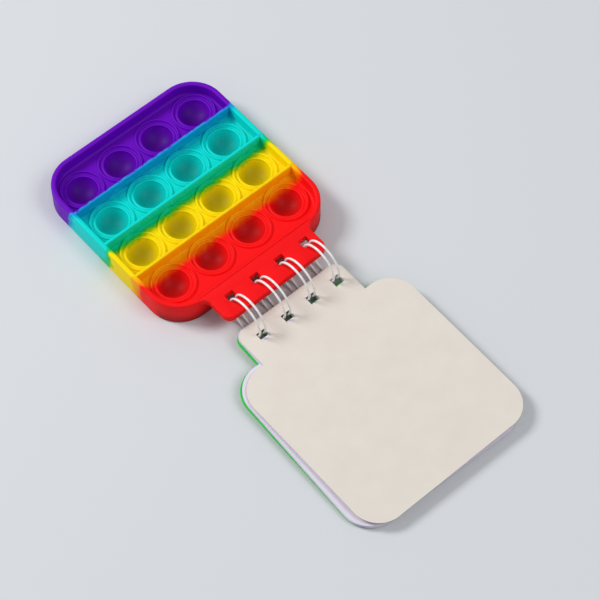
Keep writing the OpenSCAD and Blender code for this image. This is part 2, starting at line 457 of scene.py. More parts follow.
def round_edges(piece: bpy.types.Object, width: float, segments: int) -> None:
    """Rounds a plate's sharp edges and makes the result its mesh.

    Args:
        piece: the mesh object.
        width: width of the round, in millimetres.
        segments: how many flats make the round.
    """
    bevel = piece.modifiers.new("round", "BEVEL")
    bevel.width, bevel.segments = width * MM, segments
    bevel.limit_method, bevel.angle_limit = "ANGLE", math.radians(50)
    bevel.use_clamp_overlap = True
    bake_modifiers(piece)
    piece.data.shade_smooth()
    sharpen(piece, 40)


def bake_modifiers(piece: bpy.types.Object) -> None:
    """Replaces a piece's mesh with what its modifiers make of it.

    Args:
        piece: the object whose modifiers are used up.
    """
    bpy.context.view_layer.update()
    graph = bpy.context.evaluated_depsgraph_get()
    mesh = bpy.data.meshes.new_from_object(
        piece.evaluated_get(graph), preserve_all_data_layers=True, depsgraph=graph
    )
    piece.modifiers.clear()
    old, piece.data = piece.data, mesh
    mesh.name = piece.name
    bpy.data.meshes.remove(old)


def grow(
    piece: bpy.types.Object, tree: bpy.types.NodeTree, sizes: dict[str, Any]
) -> None:
    """Runs a Geometry Nodes tree on a piece and keeps the result as plain mesh.

    Args:
        piece: the object that the tree starts from.
        tree: the Geometry Nodes tree.
        sizes: the tree's named inputs.
    """
    modifier = piece.modifiers.new(tree.name, "NODES")
    modifier.node_group = tree
    sockets = {
        item.name: item.identifier
        for item in tree.interface.items_tree
        if item.item_type == "SOCKET" and item.in_out == "INPUT"
    }
    for name, value in sizes.items():
        modifier[sockets[name]] = value
    bake_modifiers(piece)


def new_tree(
    name: str, inputs: list[tuple[str, str, Any]]
) -> tuple[bpy.types.NodeTree, bpy.types.Node]:
    """Starts a Geometry Nodes tree with named inputs.

    Args:
        name: the tree's name.
        inputs: each input's name, socket class and value at the start.

    Returns:
        The tree and its input node.
    """
    tree = bpy.data.node_groups.new(name, "GeometryNodeTree")
    face = tree.interface
    face.new_socket("Geometry", in_out="INPUT", socket_type="NodeSocketGeometry")
    face.new_socket("Geometry", in_out="OUTPUT", socket_type="NodeSocketGeometry")
    for label, kind, value in inputs:
        socket = face.new_socket(label, in_out="INPUT", socket_type=kind)
        if value is not None:
            socket.default_value = value
    return tree, tree.nodes.new("NodeGroupInput")


def close_tree(tree: bpy.types.NodeTree, geometry: Any, finish: Any) -> None:
    """Ends a tree in Realize Instances and Set Material.

    Args:
        tree: the Geometry Nodes tree.
        geometry: the socket that carries the result.
        finish: the material, or the socket that carries it.
    """
    real = add_node(tree, "GeometryNodeRealizeInstances", {}, {"Geometry": geometry})
    whole = {"Geometry": real.outputs[0]}
    smooth = add_node(tree, "GeometryNodeSetShadeSmooth", {}, whole)
    worn = {"Geometry": smooth.outputs[0], "Material": finish}
    dressed = add_node(tree, "GeometryNodeSetMaterial", {}, worn)
    add_node(tree, "NodeGroupOutput", {}, {"Geometry": dressed.outputs[0]})


def wear(piece: bpy.types.Object, material: bpy.types.Material) -> None:
    """Gives a piece, or a CAD node, one material.

    Args:
        piece: the object.
        material: its finish.
    """
    if piece.data.materials:
        for i in range(len(piece.data.materials)):
            piece.data.materials[i] = material
    else:
        piece.data.materials.append(material)


def settle(
    piece: bpy.types.Object, body: str, replaced: list[str]
) -> None:
    """Puts a finished piece on its body and hides the CAD nodes that it stands for.

    Args:
        piece: the finished piece.
        body: the CAD body that it rides on.
        replaced: the CAD nodes that it stands for.
    """
    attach(piece, body)
    if replaced:
        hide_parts(*replaced)
    LOG.info("%s on %s, %d faces", piece.name, body, len(piece.data.polygons))


# ---------------------------------------------------------------- finishes


class Row(Enum):
    """The rows of bubbles, counted from the free end of the tray."""

    PURPLE = 1
    TURQUOISE = 2
    YELLOW = 3
    RED = 4

    @property
    def slot(self) -> str:
        """The record's material slot of this row."""
        return f"silicone_{self.name.lower()}"


@dataclass(frozen=True)
class RainbowSilicone:
    """Silicone, compression moulded from strips of coloured stock.

    The strips flow into each other, so the colours change along Y with ragged
    borders a few millimetres deep, and they lean a little as they rise. The cut
    mould gives a satin skin. The cups carry painted shade: their colour is made
    darker towards the bottom than on the flats.

    Attributes:
        bands: height along Y in millimetres and the colour there.
        flow_inside: how far borders wander on the web, in millimetres.
        flow_outside: how far they wander on the outer wall.
        wall_at: distance from the middle where the outer wall starts.
        lean: how far a colour moves along Y for each millimetre that it rises.
        web_at: height of the web, where the colours are as the bands say.
        cup_painted_shade: how much of its colour the bottom of a cup keeps under the
            painted shade.
        skin_grain: spacing of the skin's grain, drawn coarse enough to show.
        tooth: spacing of the teeth of a border on the web and dividers.
        smear: spacing of the long smears on the outer wall.
    """

    # The stops near 57 to 61 mm and 78 to 81 mm, where the dividers stand, are the band
    # colours made brighter: partly their own colour, partly painted light that makes up
    # for the shade on the divider faces and lightens their tops
    bands: tuple[tuple[float, str], ...] = (
        (20.0, "fb1418"),
        (34.0, "fb1414"),
        (35.2, "ff4a08"),
        (36.8, "ff8c00"),
        (38.6, "ffac00"),
        (40.8, "ffc000"),
        (42.2, "ffdc00"),
        (55.0, "ffe400"),
        (56.3, "a8d008"),
        (57.3, "24cc3c"),
        (58.4, "00cc88"),
        (59.6, "00d4b0"),
        (60.6, "02dcd0"),
        (76.4, "00dcd8"),
        (78.3, "00b8d0"),
        (79.6, "0098d4"),
        (80.5, "10a8e0"),
        (81.1, "4a28d0"),
        (82.0, "6c04bc"),
        (104.0, "6e04c0"),
    )
    flow_inside: float = 3.0
    flow_outside: float = 22.0
    wall_at: float = 40.6
    lean: float = 0.25
    web_at: float = 6.5
    # Painted shade: share of the colour kept at the bottom of a cup
    cup_painted_shade: float = 0.45
    skin_grain: float = 0.5
    tooth: float = 2.5
    smear: float = 14.0

    def build(self) -> bpy.types.Material:
        """Makes the material."""
        material, tree, place = new_material("Moulded silicone in rainbow bands")
        split = add_node(tree, "ShaderNodeSeparateXYZ", {}, {0: place})
        fine = noise(tree, place, self.tooth, 3.0, Roughness=0.6)
        smear = noise(tree, place, self.smear, 2.0, Roughness=0.5)
        side = maths(tree, "ABSOLUTE", split.outputs["X"])
        edge = (self.wall_at * MM, (self.wall_at + 1.2) * MM)
        outer = fit(tree, side, edge, smooth=True)
        wander = [
            maths(tree, "MULTIPLY", maths(tree, "SUBTRACT", source, 0.5), amount * MM)
            for source, amount in ((fine, self.flow_inside), (smear, self.flow_outside))
        ]
        long_part = maths(tree, "MULTIPLY", wander[1], outer)
        both = maths(tree, "ADD", wander[0], long_part)
        level = -self.lean * self.web_at * MM
        risen = maths(tree, "MULTIPLY_ADD", split.outputs["Z"], self.lean, level)
        leaning = maths(tree, "ADD", split.outputs["Y"], risen)
        low, high = self.bands[0][0], self.bands[-1][0]
        share = fit(tree, maths(tree, "ADD", leaning, both), (low * MM, high * MM))
        ramp = add_node(tree, "ShaderNodeValToRGB", {}, {0: share})
        stops = ramp.color_ramp.elements
        while len(stops) < len(self.bands):
            stops.new(0.5)
        for stop, (at, code) in zip(stops, self.bands):
            stop.position = (at - low) / (high - low)
            stop.color = linear(code)
        # Painted shade: the colour is made darker towards the bottom of the cups,
        # standing in for the shade there; not on the outer wall
        depth = (0.5 * MM, (self.web_at + 1.0) * MM)
        deep = fit(tree, split.outputs["Z"], depth, (self.cup_painted_shade, 1.0), smooth=True)
        shade = maths(tree, "MAXIMUM", deep, outer)
        colour_with_painted_shade = blend(tree, 1.0, ramp.outputs["Color"], shade, "MULTIPLY")
        grain = noise(tree, place, self.skin_grain, 2.0)
        inputs = {
            "Base Color": colour_with_painted_shade,
            "Roughness": fit(tree, smear, (0.0, 1.0), (0.46, 0.58)),
            "IOR": 1.41,
            "Specular IOR Level": 0.16,
            "Subsurface Weight": 0.08,
            "Subsurface Radius": (1.0, 0.6, 0.5),
            "Subsurface Scale": 1.2 * MM,
            "Normal": bumps(tree, grain, 0.06, 0.05),
        }
        end_material(tree, inputs)
        return material


@dataclass(frozen=True)
class Paper:
    """Uncoated wood-free paper, calendered: matt, with faint cloudy formation.

    Attributes:
        name: the material's name.
        light: colour of the thinner spots.
        dark: colour of the denser spots.
        cloud: spacing of the clouds, in millimetres.
        fibre: spacing of the fibres, drawn coarser than the real 0.03 mm.
        speck: spacing of stray specks.
    """

    name: str
    light: str
    dark: str
    cloud: float = 9.0
    fibre: float = 0.35
    speck: float = 12.0

    def build(self) -> bpy.types.Material:
        """Makes the material."""
        material, tree, place = new_material(self.name)
        cloud = noise(tree, place, self.cloud, 4.0)
        fibre = noise(tree, place, self.fibre, 3.0, Distortion=1.5)
        tone = blend(tree, cloud, linear(self.light), linear(self.dark))
        # Stray bark specks
        spots = {"Vector": place, "Scale": 1 / (self.speck * MM), "Randomness": 1.0}
        speck = add_node(tree, "ShaderNodeTexVoronoi", {"feature": "F1"}, spots)
        mark = fit(tree, speck.outputs["Distance"], (0.012, 0.03), (0.9, 1.0))
        inputs = {
            "Base Color": blend(tree, 1.0, tone, mark, "MULTIPLY"),
            "Roughness": 0.82,
            "IOR": 1.45,
            "Normal": bumps(tree, fibre, 0.12, 0.03),
        }
        end_material(tree, inputs)
        return material


@dataclass(frozen=True)
class NylonCoatedWire:
    """Steel wire dipped in white nylon: a smooth, glossy coat.

    Attributes:
        colour: the coat's colour.
        worn: the colour where pages have rubbed it.
        patch: spacing of the rubbed patches, in millimetres.
    """

    colour: str = "f6f6f4"
    worn: str = "dcdcda"
    patch: float = 2.0

    def build(self) -> bpy.types.Material:
        """Makes the material."""
        material, tree, place = new_material("Nylon coated steel wire")
        patch = noise(tree, place, self.patch, 3.0)
        rubbed = fit(tree, patch, (0.5, 0.75))
        inputs = {
            "Base Color": blend(tree, rubbed, linear(self.colour), linear(self.worn)),
            "Roughness": fit(tree, patch, (0.0, 1.0), (0.22, 0.38)),
            "IOR": 1.53,
            "Coat Weight": 0.3,
            "Coat Roughness": 0.12,
        }
        end_material(tree, inputs)
        return material


@dataclass(frozen=True)
class PolypropyleneSheet:
    """Extruded polypropylene sheet, die cut: bright, slightly clouded, fine matt grain.

    Attributes:
        colour: the sheet's colour.
        deep: the colour of its denser streaks.
        grain: spacing of the rolled grain, in millimetres.
        streak: spacing of the streaks, in millimetres.
    """

    colour: str = "2fdc4c"
    deep: str = "1fc43c"
    grain: float = 0.4
    streak: float = 6.0

    def build(self) -> bpy.types.Material:
        """Makes the material."""
        material, tree, place = new_material("Extruded polypropylene sheet in green")
        streak = noise(tree, place, self.streak, 2.0)
        grain = noise(tree, place, self.grain, 1.0)
        inputs = {
            "Base Color": blend(tree, streak, linear(self.colour), linear(self.deep)),
            "Roughness": 0.34,
            "IOR": 1.49,
            "Subsurface Weight": 0.25,
            "Subsurface Radius": (0.4, 1.0, 0.4),
            "Subsurface Scale": 1.0 * MM,
            "Normal": bumps(tree, grain, 0.15, 0.02),
        }
        end_material(tree, inputs)
        return material


# ------------------------------------------------------------ sub-assemblies


@dataclass
class BubbleTray:
    """The front cover: wall, web, raised rings, dividers and punched tab.

    Attributes:
        width: width across the hole row.
        length: length of the tray without its tab.
        height: height of wall and dividers.
        corner: outer corner radius.
        wall: thickness of the wall.
        web_low: height of the web's underside.
        web_high: height of the web's top.
        pitch: spacing of the bubbles both ways.
        far_inset: distance from the far wall to the farthest row.
        divider: thickness of a divider.
        ring: outer radius of the raised ring round a bubble.
        ring_rise: height of its crest above the bubble's mouth.
        seat: radius of the hollow seat that a bubble turns in.
        hole_shift: sideways offset of the punched holes.
        hole_pitch: spacing of the holes.
        hole: side of a square hole.
        tab_width: width of the tab.
        tab_thick: thickness of the tab.
        tab_corner: radius of the tab's free corners.
        tab_root: radius of the hollow corners where it joins the wall.
        hole_margin: distance from the hole row to the tab's free edge.
        slices: flats in a quarter turn of the wall.
        segments: flats in a full turn of a ring.
    """

    finish: bpy.types.Material
    width: float = 84.0
    length: float = 88.0
    height: float = 12.0
    corner: float = 15.0
    wall: float = 2.2
    web_low: float = 5.3
    web_high: float = 6.5
    pitch: float = 19.5
    far_inset: float = 13.5
    divider: float = 1.4
    ring: float = 9.3
    ring_rise: float = 1.5
    seat: float = 7.82
    hole_shift: float = 1.3
    hole_pitch: float = 12.7
    hole: float = 4.2
    tab_width: float = 51.8
    tab_thick: float = 3.0
    tab_corner: float = 3.5
    tab_root: float = 3.0
    hole_margin: float = 7.8
    slices: int = 20
    segments: int = 96
    far_y: float = field(init=False)
    near_y: float = field(init=False)
    edge_y: float = field(init=False)

    def __post_init__(self) -> None:
        """Reads where the tray lies from its CAD node."""
        low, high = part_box("bubble_cover")
        self.far_y, self.edge_y = high.y / MM, low.y / MM
        self.near_y = self.far_y - self.length

    def outline(self, inset: float) -> list[tuple[Point2, Point2]]:
        """Gives the tray's outline.

        Args:
            inset: how far inside the outer face it runs.

        Returns:
            Each point with its outward direction.
        """
        out: list[tuple[Point2, Point2]] = []
        mid_y = (self.near_y + self.far_y) / 2
        half = (self.width / 2 - self.corner, self.length / 2 - self.corner)
        for quarter, (sx, sy) in enumerate(((1, 1), (-1, 1), (-1, -1), (1, -1))):
            centre = (sx * half[0], mid_y + sy * half[1])
            start = 90.0 * quarter
            for spot in arc((0.0, 0.0), 1.0, start, start + 90.0, self.slices):
                r = self.corner - inset
                out.append(((centre[0] + r * spot[0], centre[1] + r * spot[1]), spot))
        return out

    def wall_profile(self) -> list[Point2]:
        """Section of the wall: depth inwards from the outer face, and height."""
        t, top = self.wall, self.height
        rim, foot, fillet, sink = 0.8, 0.8, 1.0, 0.003
        section = arc((foot, foot), foot, 180, 270, 5)
        section += arc((t - foot, foot), foot, 270, 360, 5)
        low, high = self.web_low + sink, self.web_high - sink
        section += [(t, low - fillet)]
        section += arc((t + fillet, low - fillet), fillet, 180, 90, 6)[1:]
        section += arc((t + fillet, high + fillet), fillet, 270, 180, 6)
        section += arc((t - rim, top - rim), rim, 0, 90, 6)
        section += arc((rim, top - rim), rim, 90, 180, 6)
        return section

    def build_wall(self) -> bpy.types.Object:
        """Sweeps the wall's section round the outline."""
        section = self.wall_profile()
        stations = self.outline(0.0)
        verts: list[Point3] = []
        for (x, y), (nx, ny) in stations:
            verts += [(x - nx * d, y - ny * d, z) for d, z in section]
        count, rounds = len(section), len(stations)
        faces = []
        for i in range(rounds):
            j = (i + 1) % rounds
            for k in range(count):
                m = (k + 1) % count
                a, b = i * count, j * count
                faces.append((a + k, a + m, b + m, b + k))
        piece = mesh_piece("tray_wall", verts, faces)
        tidy_normals(piece)
        return piece

    def centres(self) -> list[Point2]:
        """Middle of every bubble, row by row from the far wall."""
        return [
            ((c - 1.5) * self.pitch, self.far_y - self.far_inset - r * self.pitch)
            for r in range(4)
            for c in range(4)
        ]

    def build_web(self) -> bpy.types.Object:
        """Makes the flat web with an opening at every bubble."""
        edge = [p for p, _ in self.outline(self.wall / 2)]
        holes = [arc(c, self.ring + 0.15, 0, 360, 64)[:-1] for c in self.centres()]
        return filled_plate("tray_web", edge, holes, self.web_low, self.web_high)

    def ring_profile(self) -> list[Point2]:
        """Section of a raised ring: radius, and height from the bubble's mouth."""
        bead, half = 0.45, (self.web_high - self.web_low) / 2
        mid, rise, ledge = self.ring - bead, self.ring_rise - bead, 0.42
        top = [(self.ring + 0.42, half - 0.03)]
        top += arc((self.ring + 0.34, half + 0.3), 0.32, 270, 205, 4)
        top += arc((mid, rise), bead, 8, 172, 12)
        top += [(mid - bead - 0.08, ledge + 0.38), (mid - bead - 0.18, ledge + 0.14)]
        top += [(mid - bead - 0.4, ledge)]
        lift = math.degrees(math.asin(ledge / self.seat))
        zone = arc((0.0, 0.0), self.seat, lift, -lift, 6)
        under = [(r, -z) for r, z in reversed(top)]
        return top + zone + under

    def copies_tree(self) -> bpy.types.NodeTree:
        """Builds the tree that repeats a shape on a grid of points."""
        tree, given = new_tree(
            "Repeat on a grid",
            [
                ("Columns", "NodeSocketInt", 1),
                ("Rows", "NodeSocketInt", 1),
                ("Pitch", "NodeSocketFloat", 0.02),
                ("Middle", "NodeSocketVector", (0.0, 0.0, 0.0)),
                ("Finish", "NodeSocketMaterial", None),
            ],
        )
        spans = [
            maths(
                tree,
                "MULTIPLY",
                maths(tree, "SUBTRACT", given.outputs[label], 1.0),
                given.outputs["Pitch"],
            )
            for label in ("Columns", "Rows")
        ]
        size = {
            "Size X": spans[0],
            "Size Y": spans[1],
            "Vertices X": given.outputs["Columns"],
            "Vertices Y": given.outputs["Rows"],
        }
        grid = add_node(tree, "GeometryNodeMeshGrid", {}, size).outputs[0]
        move = {"Geometry": grid, "Translation": given.outputs["Middle"]}
        placed = add_node(tree, "GeometryNodeTransform", {}, move).outputs[0]
        what = {"Points": placed, "Instance": given.outputs["Geometry"]}
        copies = add_node(tree, "GeometryNodeInstanceOnPoints", {}, what)
        close_tree(tree, copies.outputs[0], given.outputs["Finish"])
        return tree

    def build_rings(self, tree: bpy.types.NodeTree) -> bpy.types.Object:
        """Makes the sixteen raised rings.

        Args:
            tree: the tree that repeats a shape on a grid.

        Returns:
            All the rings as one piece.
        """
        verts, faces = lathe(self.ring_profile(), self.segments, closed=True)
        piece = mesh_piece("tray_rings", verts, faces)
        tidy_normals(piece)
        middle_y = self.far_y - self.far_inset - 1.5 * self.pitch
        mouth = (self.web_low + self.web_high) / 2
        sizes = {"Columns": 4, "Rows": 4, "Pitch": self.pitch * MM}
        sizes |= {"Middle": (0.0, middle_y * MM, mouth * MM), "Finish": self.finish}
        grow(piece, tree, sizes)
        return piece

    def build_dividers(self, tree: bpy.types.NodeTree) -> bpy.types.Object:
        """Makes the three dividers, with hollow corners along the web.

        Args:
            tree: the tree that repeats a shape on a grid.

        Returns:
            The dividers as one piece.
        """
        half, round_r, fillet = self.divider / 2, 0.55, 0.5
        low, top = self.web_high - 0.5, self.height
        right = arc((half - round_r, top - round_r), round_r, 90, 0, 5)
        right += arc((half + fillet, self.web_high + fillet), fillet, 180, 270, 5)
        right += [(half + fillet, low)]
        section = [(-y, z) for y, z in reversed(right)] + right
        reach = self.width / 2 - self.wall / 2
        count = len(section)
        steps = 40
        verts: list[Point3] = []
        for i in range(steps + 1):
            x = -reach + 2 * reach * i / steps
            verts += [(x, y, z) for y, z in section]
        faces: list[tuple[int, ...]] = []
        for i in range(steps):
            for k in range(count):
                m = (k + 1) % count
                a, b = i * count, (i + 1) * count
                faces.append((a + k, a + m, b + m, b + k))
        faces += [tuple(range(count)), tuple(range(steps * count, (steps + 1) * count))]
        piece = mesh_piece("tray_dividers", verts, faces)
        tidy_normals(piece)
        middle_y = self.far_y - self.far_inset - 1.5 * self.pitch
        sizes = {"Columns": 1, "Rows": 3, "Pitch": self.pitch * MM}
        sizes |= {"Middle": (0.0, middle_y * MM, 0.0), "Finish": self.finish}
        grow(piece, tree, sizes)
        return piece

    def build_tab(self) -> bpy.types.Object:
        """Makes the tab with its four square holes."""
        half, root = self.tab_width / 2, self.near_y + 0.75 * self.wall
        c, h = self.tab_corner, self.tab_root
        edge = arc((half - c, self.edge_y + c), c, -90, 0, 8)
        edge += arc((half + h, self.near_y - h), h, 180, 90, 8)
        edge += [(half + h, root), (-half - h, root)]
        edge += arc((-half - h, self.near_y - h), h, 90, 0, 8)
        edge += arc((-half + c, self.edge_y + c), c, 180, 270, 8)
        row_y, side = self.edge_y + self.hole_margin, self.hole / 2
        holes = []
        for i in range(4):
            x = self.hole_shift + (i - 1.5) * self.hole_pitch
            spot = []
            for k, (sx, sy) in enumerate(((1, 1), (-1, 1), (-1, -1), (1, -1))):
                at = (x + sx * (side - 0.35), row_y + sy * (side - 0.35))
                spot += arc(at, 0.35, 90.0 * k, 90.0 * k + 90.0, 3)
            holes.append(spot)
        low = self.height - self.tab_thick
        piece = filled_plate("tray_tab", edge, holes, low, self.height)
        round_edges(piece, 0.35, 3)
        return piece

    def build(self) -> None:
        """Builds every piece of the cover and puts it on its body."""
        tree = self.copies_tree()
        pieces = [self.build_wall(), self.build_web(), self.build_tab()]
        pieces += [self.build_rings(tree), self.build_dividers(tree)]
        for i, piece in enumerate(pieces):
            wear(piece, self.finish)
            settle(piece, "cover", ["bubble_cover"] if i == 0 else [])


@dataclass
class Bubble:
    """One push-through bubble: a soft cup on a round lip.

    Attributes:
        row: the row that it is in.
        column: its place in the row, from 1.
        lip: outer radius of the skin round the lip.
        bead_mid: radius of the middle of the lip.
        bead: half thickness of the lip.
        depth: depth of the cup below its mouth.
        thick: thickness of the cup.
        segments: flats in a full turn.
    """

    finish: bpy.types.Material
    row: Row
    column: int
    lip: float = 7.8
    bead_mid: float = 7.05
    bead: float = 0.55
    depth: float = 5.5
    thick: float = 0.8
    segments: int = 96

    @property
    def node(self) -> str:
        """Name of the CAD node that it stands for."""
        return f"bubble_r{self.row.value}c{self.column}"

    def profile(self) -> list[Point2]:
        """Section of the bubble: radius, and height from its mouth."""
        ledge = 0.42
        lift = math.degrees(math.asin(ledge / self.lip))
        skin = arc((0.0, 0.0), self.lip, -lift, lift, 6)
        lip = [(self.bead_mid + self.bead + 0.06, ledge)]
        lip += arc((self.bead_mid, 0.08), self.bead, 38, 165, 9)
        mouth = self.bead_mid - self.bead + self.thick + 0.15
        outer = (mouth * mouth + self.depth * self.depth) / (2 * self.depth)
        centre = outer - self.depth
        inner = outer - self.thick
        start = math.degrees(math.asin(-centre / inner)) + 1.0
        cup = arc((0.0, centre), inner, start, -90, 22)
        cup[-1] = (0.0, centre - inner)
        back_start = math.degrees(math.asin((-centre - 0.5) / outer))
        back = arc((0.0, centre), outer, -90, back_start, 22)
        back[0] = (0.0, centre - outer)
        return skin + lip + cup + back + [(self.bead_mid + 0.3, -ledge)]

    def build(self) -> None:
        """Builds the bubble and puts it on its body."""
        low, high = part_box(self.node)
        verts, faces = lathe(self.profile(), self.segments, closed=True)
        piece = mesh_piece(f"push_{self.node}", verts, faces)
        mouth_z = high.z - self.bead * MM
        at = Vector(((low.x + high.x) / 2, (low.y + high.y) / 2, mouth_z))
        piece.data.transform(Matrix.Translation(at))
        tidy_normals(piece)
        wear(piece, self.finish)
        settle(piece, self.node, [self.node])


@dataclass
class TwinLoopWire:
    """The binding: one strand of coated wire bent into four twin loops.

    Attributes:
        ring: mean radius of the loops.
        thick: thickness of the coated wire.
        leg_gap: spacing of a loop's two legs.
        pitch: spacing of the loops.
        shift: sideways offset of the loops.
        seam: where the closed seam sits, in degrees below the tab.
        seam_gap: opening at the seam, in degrees.
        bend: radius of the bends between a leg and a bar.
        facets: flats round the wire.
    """

    finish: bpy.types.Material
    axis: Vector
    ring: float = 8.95
    thick: float = 0.95
    leg_gap: float = 2.8
    pitch: float = 12.7
    shift: float = 1.3
    seam: float = 15.0
    seam_gap: float = 4.0
    bend: float = 0.9
    facets: int = 16

    def on_loop(self, x: float, angle: float, beyond: float = 0.0) -> Point3:
        """Gives a point on a loop.

        Args:
            x: its place along the axis.
            angle: its angle about the axis, in degrees.
            beyond: how far past that angle it goes, straight on.

        Returns:
            The point, in millimetres from the middle of the axis.
        """
        a = math.radians(angle)
        y, z = self.ring * math.cos(a), self.ring * math.sin(a)
        return (x, y - beyond * math.sin(a), z + beyond * math.cos(a))

    def path(self) -> list[Point3]:
        """Runs along the strand from one end to the other."""
        half = self.leg_gap / 2
        tip_turn = 2 * math.degrees(math.asin((half + self.thick / 2) / 2 / self.ring))
        start, end = -self.seam, 360 - self.seam - tip_turn - self.seam_gap
        ease = math.degrees(self.bend / self.ring)
        count = 112
        line: list[Point3] = []
        for i in range(4):
            x = self.shift + (i - 1.5) * self.pitch
            first = start if i == 0 else start + ease
            last = start if i == 3 else start + ease
            line += [
                self.on_loop(x - half, first + (end - first) * k / count)
                for k in range(count)
            ]
            line += [
                self.on_loop(x + u, end, v) for u, v in arc((0, 0), half, 180, 0, 14)
            ]
            line += [
                self.on_loop(x + half, end + (last - end) * k / count)
                for k in range(1, count + 1)
            ]
            if i < 3:
                turn = arc((self.bend, 0.0), self.bend, 180, 270, 6)[1:]
                there, back = x + half, x + self.pitch - half
                line += [self.on_loop(there + u, start + ease, v) for u, v in turn]
                line += [
                    self.on_loop(back - u, start + ease, v) for u, v in reversed(turn)
                ]
        return line

    def sweep_tree(self) -> bpy.types.NodeTree:
        """Builds the tree that gives a path a round section."""
        tree, given = new_tree(
            "Round section along a path",
            [
                ("Wire radius", "NodeSocketFloat", 0.0005),
                ("Facets", "NodeSocketInt", 16),
                ("Finish", "NodeSocketMaterial", None),
            ],
        )
        path = {"Mesh": given.outputs["Geometry"]}
        strand = add_node(tree, "GeometryNodeMeshToCurve", {}, path)
        round_size = {
            "Radius": given.outputs["Wire radius"],
            "Resolution": given.outputs["Facets"],
        }
        section = add_node(tree, "GeometryNodeCurvePrimitiveCircle", {}, round_size)
        swept = {
            "Curve": strand.outputs[0],
            "Profile Curve": section.outputs[0],
            "Fill Caps": True,
        }
        tube = add_node(tree, "GeometryNodeCurveToMesh", {}, swept)
        close_tree(tree, tube.outputs[0], given.outputs["Finish"])
        return tree

    def build(self) -> None:
        """Builds the strand and puts it on its body."""
        line = self.path()
        links = [(i, i + 1) for i in range(len(line) - 1)]
        piece = mesh_piece("wire_strand", line, [], edges=links)
        piece.data.transform(Matrix.Translation(self.axis))
        sizes = {"Wire radius": self.thick / 2 * MM, "Facets": self.facets}
        grow(piece, self.sweep_tree(), sizes | {"Finish": self.finish})
        tidy_normals(piece)
        sharpen(piece, 50)
        settle(piece, "wire", ["twin_loop_wire"])


@dataclass
class Leaf:
    """A jar-shaped leaf: a body with round corners and a punched neck.

    Attributes:
        width: width of the body.
        length: length of the body.
        corner: radius of the body's corners.
        neck: width of the neck.
        margin: distance from the hole row to the neck's free edge.
        reach: distance from the hole row to the shoulders.
        neck_corner: radius of the neck's free corners.
        hole: side of a punched hole.
        pitch: spacing of the holes.
        shift: sideways offset of the holes.
        cell: spacing of the lines that let the leaf bend.
    """

    width: float = 82.6
    length: float = 81.8
    corner: float = 12.0
    neck: float = 52.8
    margin: float = 7.0
    reach: float = 10.0
    neck_corner: float = 4.0
    hole: float = 4.2
    pitch: float = 12.7
    shift: float = 1.3
    cell: float = 3.0

    def outline(self) -> list[Point2]:
        """Edge of the leaf about its hole row, anticlockwise."""
        w, n, c, k = self.width / 2, self.neck / 2, self.corner, self.neck_corner
        top, foot = -self.reach, -self.reach - self.length
        edge = arc((n - k, self.margin - k), k, 0, 90, 8)
        edge += arc((-n + k, self.margin - k), k, 90, 180, 8)
        edge += [(-n, top)]
        edge += arc((-w + c, top - c), c, 90, 180, 14)
        edge += arc((-w + c, foot + c), c, 180, 270, 14)
        edge += arc((w - c, foot + c), c, 270, 360, 14)
        edge += arc((w - c, top - c), c, 0, 90, 14)
        edge += [(n, top)]
        return edge

    def holes(self) -> list[list[Point2]]:
        """Edges of the punched holes."""
        side = self.hole / 2
        corners = ((1, 1), (-1, 1), (-1, -1), (1, -1))
        return [
            [
                (self.shift + (i - 1.5) * self.pitch + sx * side, sy * side)
                for sx, sy in corners
            ]
            for i in range(4)
        ]

    def face(self, name: str) -> bpy.types.Object:
        """Makes the leaf's flat face, cut into cells so that it can bend.

        Args:
            name: the piece's name.

        Returns:
            A piece with one layer of faces, looking up.
        """
        bm = filled_outline(self.outline(), self.holes(), 0.0)
        low, high = -self.reach - self.length, self.margin
        cuts = [((0, y, 0), (0, 1, 0)) for y in span(low, high, self.cell)]
        half = self.width / 2
        cuts += [((x, 0, 0), (1, 0, 0)) for x in span(-half, half, self.cell)]
        for at, across in cuts:
            parts = bm.verts[:] + bm.edges[:] + bm.faces[:]
            spot = Vector(at) * MM
            bmesh.ops.bisect_plane(bm, geom=parts, plane_co=spot, plane_no=across)
        look_up(bm)
        piece = mesh_of(bm, name)
        piece.data.shade_smooth()
        return piece


def span(low: float, high: float, step: float) -> list[float]:
    """Gives even steps strictly between two values.

    Args:
        low: lower end.
        high: upper end.
        step: wanted spacing.

    Returns:
        The values in between.
    """
    count = round((high - low) / step)
    return [low + (high - low) * i / count for i in range(1, count)]


